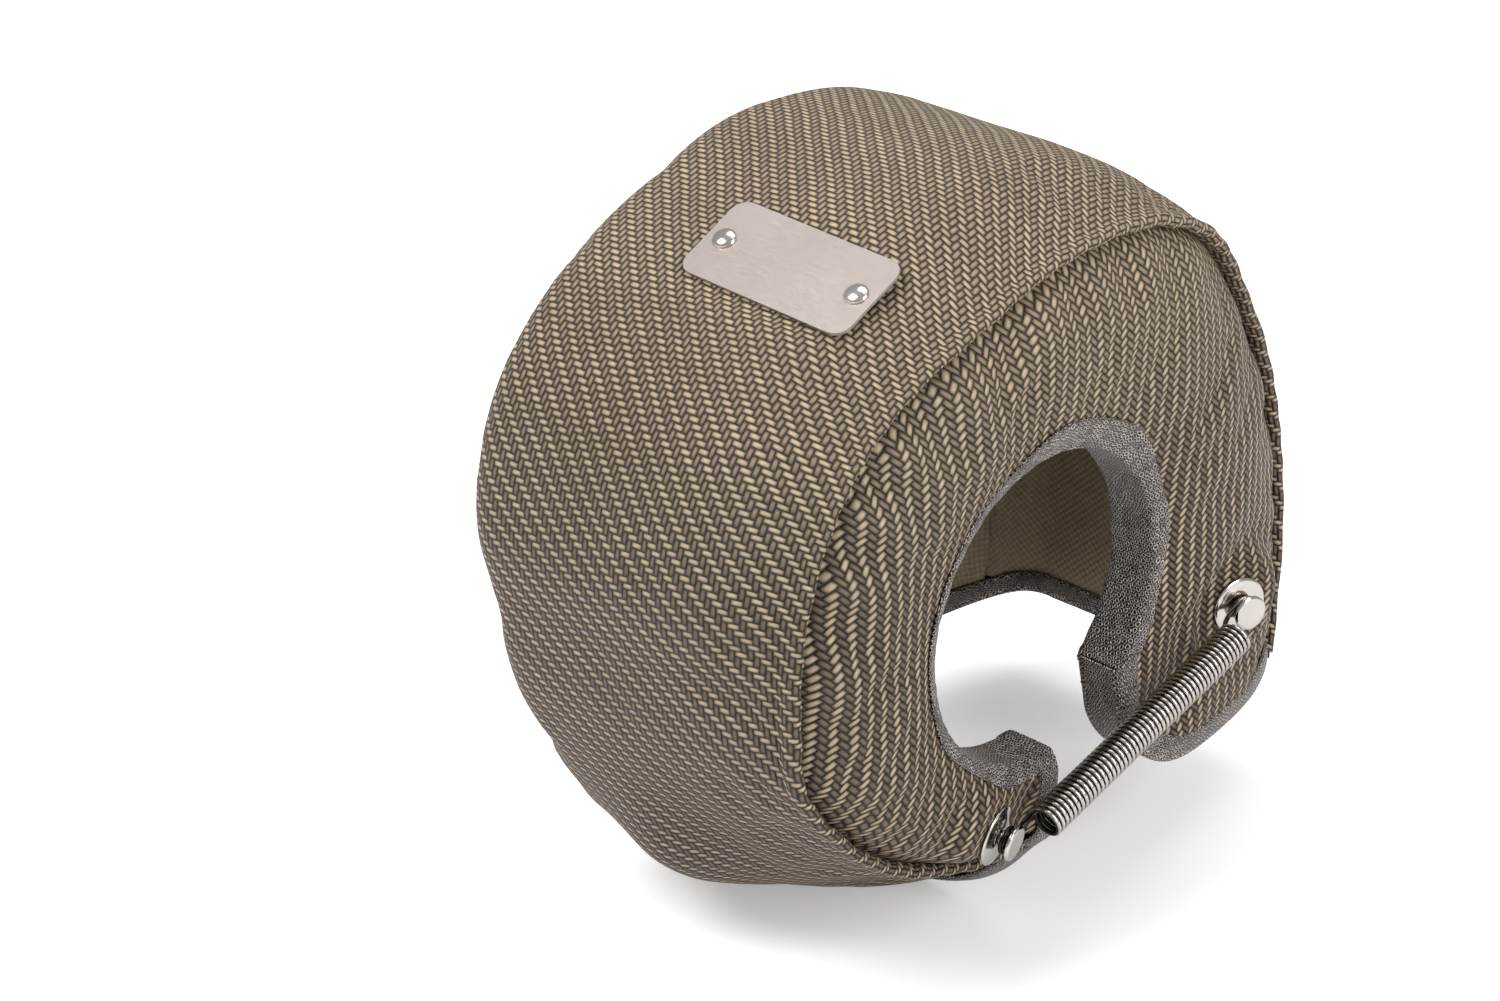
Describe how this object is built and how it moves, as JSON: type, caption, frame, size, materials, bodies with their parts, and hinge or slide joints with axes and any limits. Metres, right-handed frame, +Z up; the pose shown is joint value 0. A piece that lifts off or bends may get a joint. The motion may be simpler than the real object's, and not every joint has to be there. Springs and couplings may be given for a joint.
{
  "type": "turbo heat blanket",
  "caption": "Quilted basalt-cloth heat blanket shaped for a turbine housing, with wire-knit edged openings, spring-laced ends and a bare riveted plate.",
  "frame": {"origin": "on the turbine axis, in the end plane of the housing's outlet ring that the blanket leaves free", "axes": "+X along the turbine axis out of the outlet, +Z up, so that the inlet neck leaves downwards through the open ends"},
  "size_m": [0.1342, 0.2089, 0.1952],
  "materials": {
    "basalt_twill": "2/2 twill of basalt fibre, glossy tows in light and dark bronze",
    "wool_mat": "soft needled fibre mat",
    "silica_liner": "plain woven silica cloth",
    "knitted_wire": "fine knitted stainless wire, flattened",
    "polished_steel": "polished stainless",
    "spring_wire": "bright drawn wire",
    "plate_steel": "bare satin stainless sheet, no lettering",
    "rivet_steel": "domed stainless rivets and burrs"
  },
  "bodies": {
    "root": {"band_cover": "basalt_twill", "face_cover": "basalt_twill", "rear_cover": "basalt_twill", "band_mat": "wool_mat", "face_mat": "wool_mat", "rear_mat": "wool_mat", "band_liner": "silica_liner", "face_liner": "silica_liner", "rear_liner": "silica_liner", "outlet_edging": "knitted_wire", "mouth_edging": "knitted_wire", "left_end_edging": "knitted_wire", "right_end_edging": "knitted_wire", "front_upper_capstan_washer": "polished_steel", "front_upper_capstan_stud": "polished_steel", "front_upper_lock_washer": "polished_steel", "front_lower_capstan_washer": "polished_steel", "front_lower_capstan_stud": "polished_steel", "front_lower_lock_washer": "polished_steel", "rear_upper_capstan_washer": "polished_steel", "rear_upper_capstan_stud": "polished_steel", "rear_upper_lock_washer": "polished_steel", "rear_lower_capstan_washer": "polished_steel", "rear_lower_capstan_stud": "polished_steel", "rear_lower_lock_washer": "polished_steel", "front_spring": "spring_wire", "rear_spring": "spring_wire", "name_plate": "plate_steel", "plate_rivet_1": "rivet_steel", "plate_rivet_2": "rivet_steel", "plate_burr_1": "rivet_steel", "plate_burr_2": "rivet_steel"}
  },
  "joints": []
}
